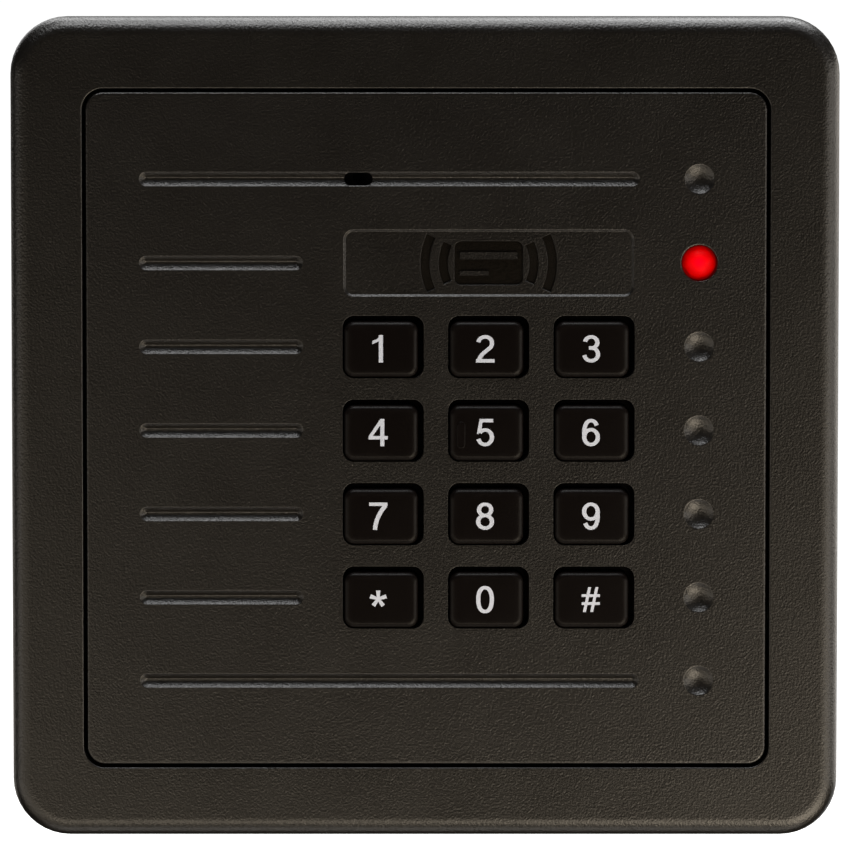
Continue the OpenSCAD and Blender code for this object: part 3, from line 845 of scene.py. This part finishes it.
def block(x0, x1, z0, z1):
    return shape((x0, z0), (x1, z0), (x1, z1), (x0, z1))


def glyph(name):
    """The parts of a legend, in millimetres about its own middle."""
    top = LEGEND_H / 2
    cap = top - BAR / 2
    if name == "0":
        return [loop(0, 0, ROUND_HALF, cap, 48, 2.25)]
    if name == "1":
        flag_top = [(-0.88, 0.72), (-0.88, 1.22), (-0.34, 1.42), (0.06, 1.72), (0.24, top)]
        return [block(0.1, 0.74, -top, top), shape(*flag_top, (0.6, top), (0.6, 1.0), (0.05, 1.12))]
    if name == "2":
        bowl = arc(0, 0.86, ROUND_HALF, cap - 0.86, 172, -28, 24, 2.1)
        end = bowl[-1]
        tail = bezier(end, (end[0] - 0.32, end[1] - 0.55), (-0.82, -0.72), (-0.98, -1.86))
        return [
            stroke(bowl + tail[1:]),
            shape((-1.42, -top), (1.44, -top), (1.44, -top + BAR), (-1.38, -top + BAR)),
        ]
    if name == "3":
        upper = arc(0, 0.98, 0.94, cap - 0.98, 172, -90, 26)
        lower = arc(0, -0.84, 1.05, cap - 0.84, 90, -172, 28)
        return [
            stroke(upper + [(-0.36, upper[-1][1])]),
            stroke([(-0.3, lower[0][1])] + lower),
        ]
    if name == "4":
        return [
            block(0.32, 0.94, -top, top),
            block(-1.46, 1.46, -1.06, -0.54),
            shape((-1.46, -0.56), (-0.88, -0.58), (0.42, 1.26), (0.42, top), (0.34, top)),
        ]
    if name == "5":
        bowl = arc(0, -0.72, 1.05, cap - 0.72, 140, -166, 30)
        return [
            shape((-0.92, top - BAR), (1.22, top - BAR), (1.22, top), (-0.84, top)),
            shape((-0.84, top), (-0.34, top), (-0.6, 0.14), (-1.12, -0.26), (-1.24, -0.12)),
            stroke(bowl),
        ]
    if name in ("6", "9"):
        turn = -1 if name == "9" else 1
        back = arc(0, 0, ROUND_HALF, cap, 34, 180, 26, 2.2) + [(-ROUND_HALF, -0.35), (-ROUND_HALF, -0.7)]
        ring = arc(0, -0.7, ROUND_HALF, cap - 0.7, 0, 360 - 360 / 40, 39)
        turned = [[(turn * x, turn * z) for x, z in path] for path in (back, ring)]
        return [stroke(turned[0]), stroke(turned[1], closed=True)]
    if name == "7":
        return [
            block(-1.4, 1.42, top - BAR, top),
            stroke(bezier((1.16, 1.66), (0.2, 0.62), (-0.42, -0.75), (-0.5, -top)), bar=STEM),
        ]
    if name == "8":
        return [loop(0, 0.97, 0.93, cap - 0.97, 36), loop(0, -0.86, 1.06, cap - 0.86, 40)]
    if name == "star":
        arms = []
        for k in range(5):
            a = math.radians(90 + 72 * k)
            c, s = math.cos(a), math.sin(a)
            corners = [(-0.15, -0.19), (1.3, -0.33), (1.3, 0.33), (-0.15, 0.19)]
            arms.append(shape(*[(u * c - v * s, 0.1 + u * s + v * c) for u, v in corners]))
        return arms
    bars = [block(-1.4, 1.4, z - 0.21, z + 0.21) for z in (0.61, -0.61)]
    slant, half, reach = 0.4, 0.23, 1.92
    for x in (-0.57, 0.54):
        foot, head = x - slant, x + slant
        low = [(foot - half, -reach), (foot + half, -reach)]
        bars.append(shape(*low, (head + half, reach), (head - half, reach)))
    return bars


def legend_part(part, cx, cz, low, high):
    """A thin solid of one part of a legend, from one depth to another."""
    if part[0] == "shape":
        return loft("part", [[point(cx + x, cz + z, d) for x, z in part[1]] for d in (low, high)])
    _, left, right, closed = part
    rings = []
    for (lx, lz), (rx, rz) in zip(left, right):
        corners = [(lx, lz, low), (lx, lz, high), (rx, rz, high), (rx, rz, low)]
        rings.append([point(cx + x, cz + z, d) for x, z, d in corners])
    return loft("part", rings, closed=closed)


def build_legend(i):
    cx, cz = key_place(i)
    cx += COLUMN_DRIFT[i % KEY_COLUMNS]
    cz += ROW_DRIFT
    parts = [legend_part(p, cx, cz, KEY_TOP - INK_SINK, KEY_TOP + INK_T) for p in glyph(KEY_NAMES[i])]
    piece = parts[0]
    for other in parts[1:]:
        combine(piece, [other], "UNION")
    piece.name = "legend_" + KEY_NAMES[i]
    finish_shading(piece, 30)
    paint(piece, ink)
    place(piece, "key_" + KEY_NAMES[i], "legend_ink")


for i in range(len(KEY_NAMES)):
    build_legend(i)

# ---- Lamp ----


def build_lamp():
    """The lamp's flange, straight side and dome, on its CAD node's place."""
    low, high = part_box("led_lamp")
    cx, cz = (low.x + high.x) / 2 / MM, (low.z + high.z) / 2 / MM
    base, top = -high.y / MM, -low.y / MM
    rings = [round_ring(cx, cz, r, base + rise) for r, rise in LAMP_FLANGE]
    for k in range(DOME_STEPS + 1):
        a = math.radians(DOME_REACH * k / DOME_STEPS)
        rings.append(round_ring(cx, cz, LAMP_R * math.cos(a), top - LAMP_R + LAMP_R * math.sin(a)))
    piece = loft("lamp_dome", rings)
    finish_shading(piece, 60)
    paint(piece, lamp_glow(cx, cz))
    place(piece, "housing", "lamp_lens", "led_lamp")


build_lamp()

# ---- Stage ----


def stage_piece(name, build):
    """A part of the set, which isn't part of the object and gives it no light."""
    bm = bmesh.new()
    build(bm)
    mesh = bpy.data.meshes.new(name)
    bm.to_mesh(mesh)
    bm.free()
    piece = bpy.data.objects.new(name, mesh)
    bpy.context.scene.collection.objects.link(piece)
    piece.visible_diffuse = False
    piece.visible_glossy = False
    piece.visible_transmission = False
    piece.visible_shadow = False
    return piece


def pale_backdrop():
    """Pale and evenly lit, with a barely uneven shade."""
    material, tree, shader = new_material("pale_backdrop")
    coords = add(tree, "ShaderNodeTexCoord").outputs["Object"]
    tone = spread(tree, noise(tree, coords, 400, 2), 0.99, 1.0)
    tint = add(tree, "ShaderNodeCombineColor")
    for k in range(3):
        tree.links.new(tone, tint.inputs[k])
    tree.links.new(tint.outputs[0], shader.inputs["Emission Color"])
    shader.inputs["Base Color"].default_value = (0.3, 0.3, 0.3, 1)
    shader.inputs["Roughness"].default_value = 0.9
    shader.inputs["Emission Strength"].default_value = 1.05
    return material


# The set, in metres
FLOOR_DROP, FLOOR_R, BACKDROP_R = 0.12, 4.5, 5.0


def disc(bm):
    bmesh.ops.create_circle(bm, cap_ends=True, segments=64, radius=FLOOR_R)


def ball(bm):
    bmesh.ops.create_icosphere(bm, subdivisions=3, radius=BACKDROP_R)


white = pale_backdrop()
floor = stage_piece("floor", disc)
floor.location.z = -FLOOR_DROP
paint(floor, white)
paint(stage_piece("backdrop", ball), white)

world = bpy.data.worlds.new("studio")
bpy.context.scene.world = world
world.use_nodes = True
sky = world.node_tree.nodes["Background"]
sky.inputs["Color"].default_value = (1, 1, 1, 1)
sky.inputs["Strength"].default_value = 0.016


def soft_light(name, location, aim, size, radiance, colour=(1, 1, 1)):
    """Rectangular soft light, whose brightness is given as the radiance of its surface."""
    lamp = bpy.data.lights.new(name, "AREA")
    lamp.shape = "RECTANGLE"
    lamp.size, lamp.size_y = size
    lamp.energy = radiance * math.pi * size[0] * size[1]
    lamp.color = colour
    light = bpy.data.objects.new(name, lamp)
    light.location = location
    way = Vector(aim) - Vector(location)
    light.rotation_euler = way.to_track_quat("-Z", "Y").to_euler()
    light.visible_camera = False
    bpy.context.scene.collection.objects.link(light)


MIDDLE = (0, 0, 0)
WARM = (1.16, 1.0, 0.78)
FAINTLY_WARM = (1.08, 1.0, 0.9)

# A canopy overhead in strips: each strip's middle and span in degrees up from the front, and its
# radiance
CANOPY_R, CANOPY_W, CANOPY_X = 0.8, 0.9, 0.05
CANOPY_STRIPS = [(60, 12, 2.2), (74, 12, 4.5), (87.5, 15, 6.5), (107.5, 25, 7.5), (135, 30, 1.0)]
for middle, span, radiance in CANOPY_STRIPS:
    up = math.radians(middle)
    spot = (CANOPY_X, -CANOPY_R * math.cos(up), CANOPY_R * math.sin(up))
    soft_light("canopy", spot, MIDDLE, (CANOPY_W, CANOPY_R * math.radians(span)), radiance)

# Panels at the two sides
soft_light("right_side", (1.0, 0, 0), MIDDLE, (1.0, 0.4), 0.6, FAINTLY_WARM)
soft_light("right_behind", (0.9, 0.5, 0), MIDDLE, (1.0, 0.5), 1.8, FAINTLY_WARM)
soft_light("right_ahead", (0.9, -0.5, 0), MIDDLE, (0.9, 0.4), 2.0, FAINTLY_WARM)
soft_light("left_behind", (-0.7, 0.8, -0.2), MIDDLE, (0.9, 0.4), 0.6, FAINTLY_WARM)
soft_light("left_ahead", (-0.9, -0.25, -0.2), MIDDLE, (0.5, 0.5), 1.1, FAINTLY_WARM)
soft_light("left_low", (-0.65, -0.6, -0.45), MIDDLE, (0.5, 0.5), 0.6, FAINTLY_WARM)

# Warm reflectors close below the face, which make its sheen grow towards the lower right
LOW = (0, 0, -0.06)
soft_light("below", (0, -0.1, -0.8), MIDDLE, (0.8, 0.35), 1.4, FAINTLY_WARM)
soft_light("low_wide", (0.02, -0.25, -0.2), LOW, (0.3, 0.1), 2.4, WARM)
soft_light("low_right", (0.25, -0.3, -0.3), MIDDLE, (0.3, 0.3), 3.6, WARM)
soft_light("low_right_close", (0.17, -0.17, -0.12), (0.05, 0, -0.03), (0.26, 0.3), 1.0, WARM)
soft_light("low_left_close", (-0.17, -0.17, -0.12), (-0.05, 0, -0.03), (0.26, 0.3), 0.7, WARM)

# Light for the back, which the front doesn't see
soft_light("behind_left", (-0.5, 0.9, 0.5), MIDDLE, (0.6, 0.6), 1.5)
soft_light("behind_right", (0.6, 0.8, -0.3), MIDDLE, (0.5, 0.5), 1.0)

# ---- Camera ----

CAMERA_DISTANCE = 0.9
CAMERA_RISE = math.radians(3.7)
CAMERA_LIFT = 0.45
target = Vector((0, -FACE * MM, CAMERA_LIFT * MM))
camera_data = bpy.data.cameras.new("camera")
camera_data.sensor_width = 36
camera_data.lens = 248.7
camera_data.clip_end = 50
camera = bpy.data.objects.new("camera", camera_data)
camera.location = target + Vector((0, -math.cos(CAMERA_RISE), math.sin(CAMERA_RISE))) * CAMERA_DISTANCE
camera.rotation_euler = (math.radians(90) - CAMERA_RISE, 0, 0)
bpy.context.scene.collection.objects.link(camera)
bpy.context.scene.camera = camera
bpy.context.scene.view_settings.view_transform = "Standard"
